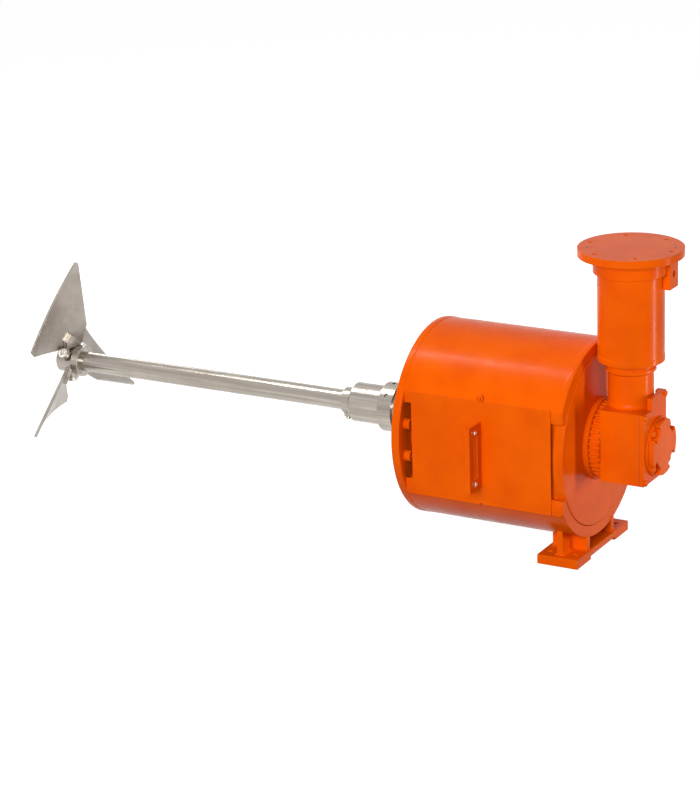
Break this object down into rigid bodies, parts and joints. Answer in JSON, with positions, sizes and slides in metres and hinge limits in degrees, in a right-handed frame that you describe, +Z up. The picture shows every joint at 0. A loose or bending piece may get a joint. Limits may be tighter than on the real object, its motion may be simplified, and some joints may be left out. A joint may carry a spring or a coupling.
{
  "type": "side entry tank mixer",
  "caption": "Tank mixer for a side wall: flanged drum on a foot, right angle bevel drive with motor lantern, mechanical seal, shaft and bladed propeller.",
  "frame": {"origin": "centre of the drum's tank side face, on the propeller shaft's axis", "axes": "+X along the shaft from the tank towards the drive, +Z up, -Y towards the near access cover"},
  "size_m": [1.7622, 0.54, 0.765],
  "materials": {
    "orange_cast": "gloss orange paint over a slightly rough casting",
    "orange_sheet": "gloss orange paint on smooth sheet",
    "painted_screws": "gloss orange paint",
    "satin_stainless": "satin turned stainless steel",
    "stainless_screws": "bright stainless steel",
    "zinc_screws": "zinc plated steel",
    "machined_steel": "machined steel",
    "bearing_steel": "ground bearing steel",
    "seal_face": "dark lapped seal face",
    "coupling_iron": "machined cast iron",
    "elastomer": "blue elastomer"
  },
  "bodies": {
    "frame": {"bearing_cap_screws": "painted_screws", "coupling_hatch": "orange_cast", "drum_housing": "orange_cast", "gearbox_cover": "orange_cast", "gearbox_cover_screws": "painted_screws", "gearbox_housing": "orange_cast", "gearbox_mount_screws": "painted_screws", "input_bearing_outer_races": "bearing_steel", "input_neck": "orange_cast", "lantern_screws": "zinc_screws", "motor_lantern": "orange_cast", "output_bearing_cap": "orange_cast", "output_bearing_outer_races": "bearing_steel", "rear_plate": "orange_cast", "rear_plate_screws": "zinc_screws", "seal_carrier": "satin_stainless", "seal_carrier_screws": "stainless_screws", "seal_fixed_ring": "seal_face", "seal_flange": "satin_stainless", "seal_housing": "satin_stainless", "steady_bearing_outer_race": "bearing_steel"},
    "shaft": {"propeller_shaft": "satin_stainless", "propeller_hub": "satin_stainless", "propeller_blade_1": "satin_stainless", "propeller_blade_2": "satin_stainless", "propeller_blade_3": "satin_stainless", "hub_screws": "stainless_screws", "hub_clamp_ring": "satin_stainless", "hub_nut": "satin_stainless", "shaft_collar": "satin_stainless", "seal_shaft_sleeve": "satin_stainless", "seal_bellows": "satin_stainless", "seal_drive_collar": "satin_stainless", "seal_rotating_ring": "seal_face", "steady_bearing_inner_race": "bearing_steel", "coupling_upper_half": "machined_steel", "coupling_lower_half": "machined_steel", "coupling_screws": "zinc_screws", "output_shaft": "machined_steel", "output_bearing_inner_races": "bearing_steel", "output_spacer_sleeve": "machined_steel", "bevel_wheel": "machined_steel"},
    "input": {"input_shaft": "machined_steel", "bevel_pinion": "machined_steel", "input_bearing_inner_races": "bearing_steel", "jaw_coupling_gearbox_half": "coupling_iron", "jaw_coupling_spider": "elastomer", "jaw_coupling_motor_half": "coupling_iron"},
    "near_cover": {"near_access_cover": "orange_sheet", "near_cover_handle": "orange_sheet", "near_handle_screws": "stainless_screws", "near_clamp_screws": "painted_screws"},
    "far_cover": {"far_access_cover": "orange_sheet", "far_cover_handle": "orange_sheet", "far_handle_screws": "stainless_screws", "far_clamp_screws": "painted_screws"},
    "blank": {"motor_opening_blank": "orange_sheet"}
  },
  "joints": [
    {"name": "shaft_spin", "type": "hinge", "parent": "frame", "child": "shaft", "pos_m": [0, 0, 0], "axis": [1, 0, 0], "continuous": true},
    {"name": "input_spin", "type": "hinge", "parent": "frame", "child": "input", "pos_m": [0.516, 0, 0], "axis": [0, 0, 1], "continuous": true},
    {"name": "near_cover_off", "type": "slide", "parent": "frame", "child": "near_cover", "axis": [0, -1, 0], "range_m": [0, 0.15]},
    {"name": "far_cover_off", "type": "slide", "parent": "frame", "child": "far_cover", "axis": [0, 1, 0], "range_m": [0, 0.15]},
    {"name": "blank_out", "type": "slide", "parent": "frame", "child": "blank", "axis": [0, 0, 1], "range_m": [0, 0.05]}
  ],
  "couplings": [
    {"joint": "input_spin", "follows": "shaft_spin", "ratio": 3}
  ]
}
